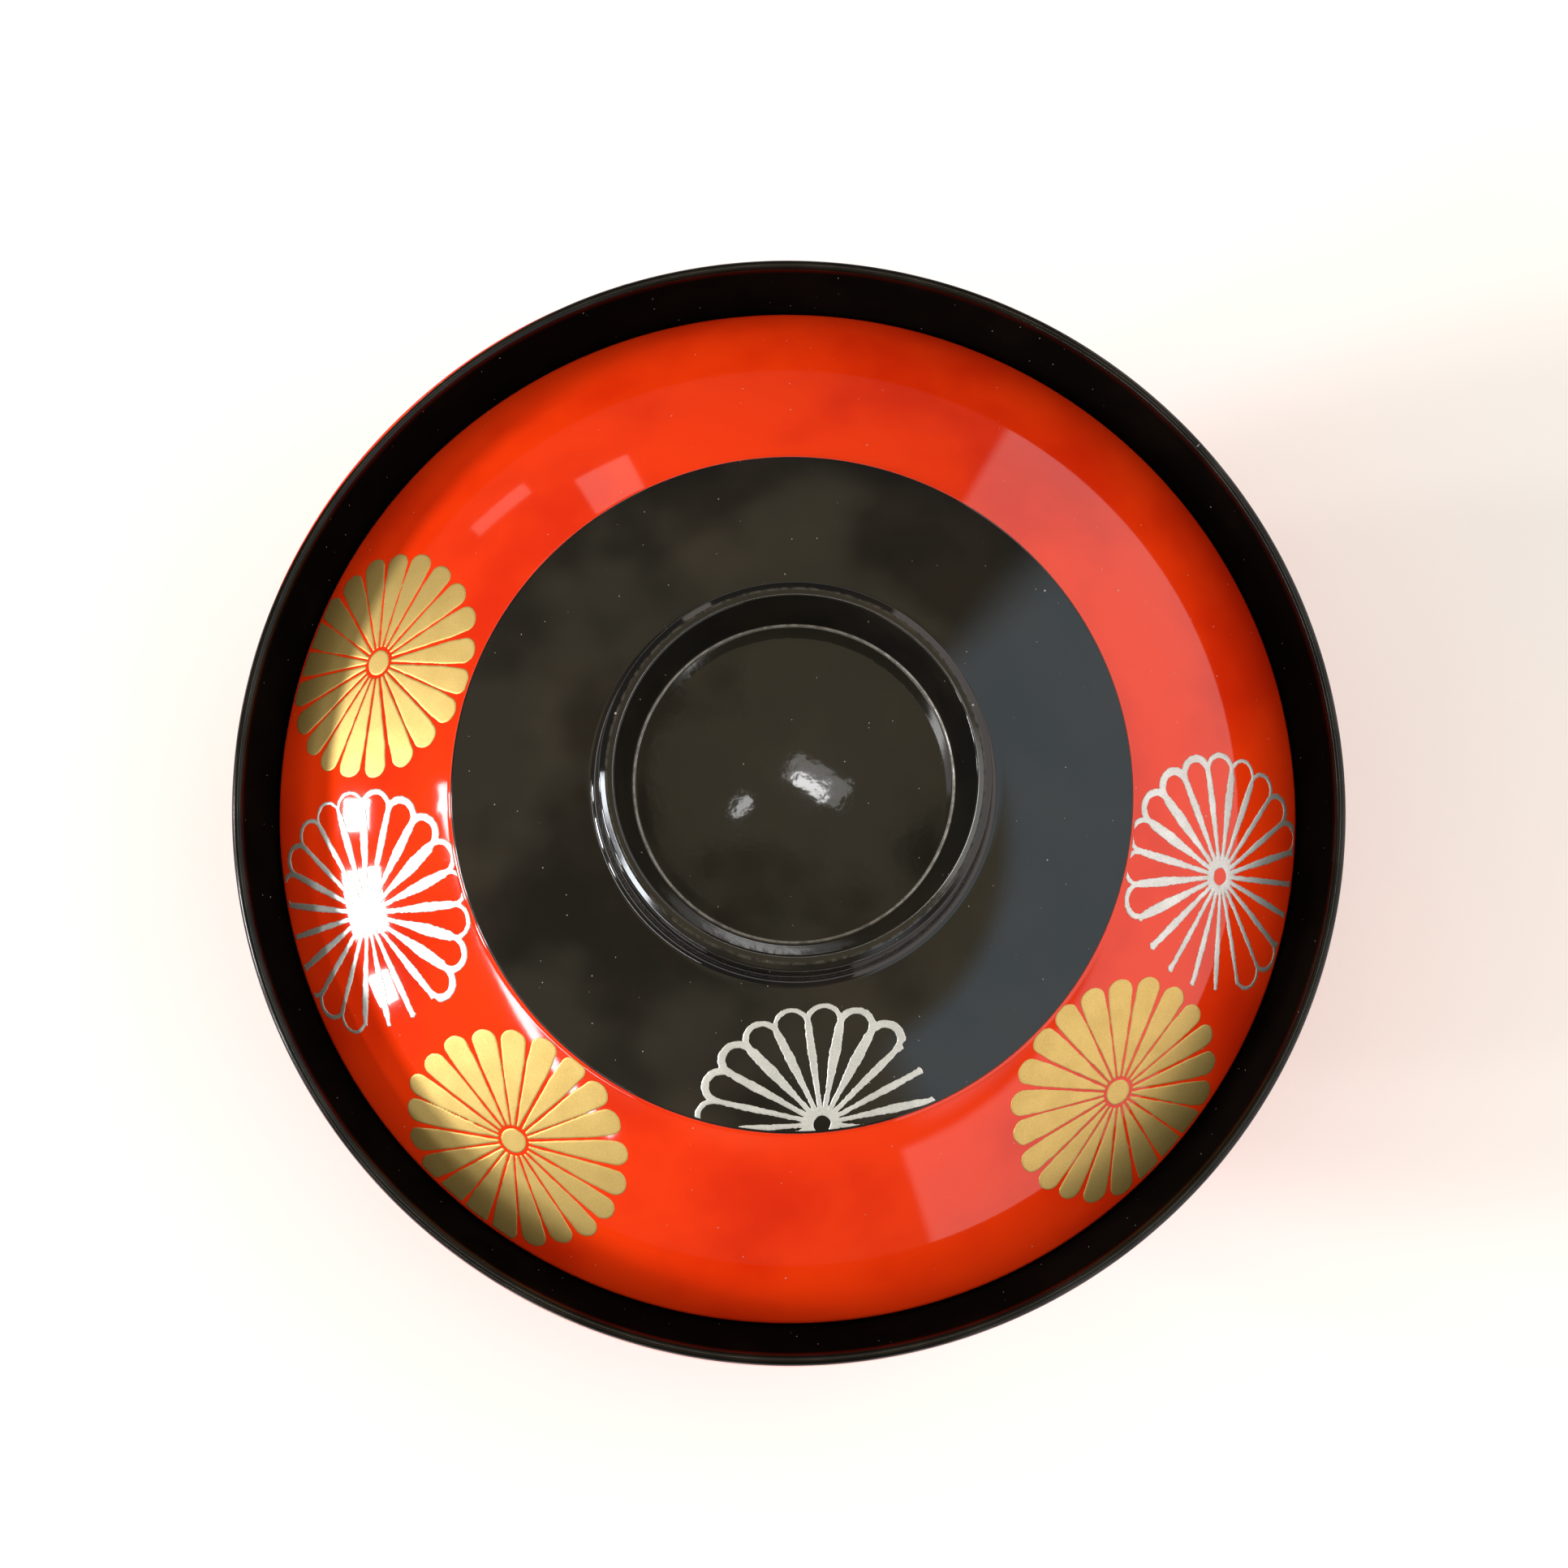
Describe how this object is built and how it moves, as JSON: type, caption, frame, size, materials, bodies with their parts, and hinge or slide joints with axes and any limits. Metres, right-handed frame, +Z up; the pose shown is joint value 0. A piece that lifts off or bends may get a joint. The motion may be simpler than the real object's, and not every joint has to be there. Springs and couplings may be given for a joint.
{
  "type": "lidded lacquer soup bowl",
  "caption": "Round footed soup bowl, red outside and black inside, with a domed drop-in lid carried by a ring and decorated with gold and silver chrysanthemums.",
  "frame": {"origin": "centre of the foot's resting face", "axes": "+Z up along the bowl's axis, the way the lid lifts; -Y towards the silver flower on the black middle of the lid"},
  "size_m": [0.1226, 0.1226, 0.0822],
  "materials": {
    "turned_wood": "sealed, all but hidden",
    "red_lacquer": "glossy lacquer",
    "black_lacquer": "glossy lacquer",
    "gold_film": "satin metallic powder",
    "silver_film": "satin metallic powder"
  },
  "bodies": {
    "bowl": {"bowl_core": "turned_wood", "bowl_red_coat": "red_lacquer", "bowl_inner_coat": "black_lacquer", "bowl_foot_coat": "black_lacquer"},
    "lid": {"lid_core": "turned_wood", "lid_red_coat": "red_lacquer", "lid_black_coat": "black_lacquer", "lid_inner_coat": "black_lacquer", "gold_flower_back": "gold_film", "gold_flower_left": "gold_film", "gold_flower_right": "gold_film", "silver_flower_left": "silver_film", "silver_flower_right": "silver_film", "silver_flower_front": "silver_film"}
  },
  "joints": [
    {"name": "lid_lift", "type": "slide", "parent": "bowl", "child": "lid", "axis": [0, 0, 1], "range_m": [0, 0.05]}
  ]
}
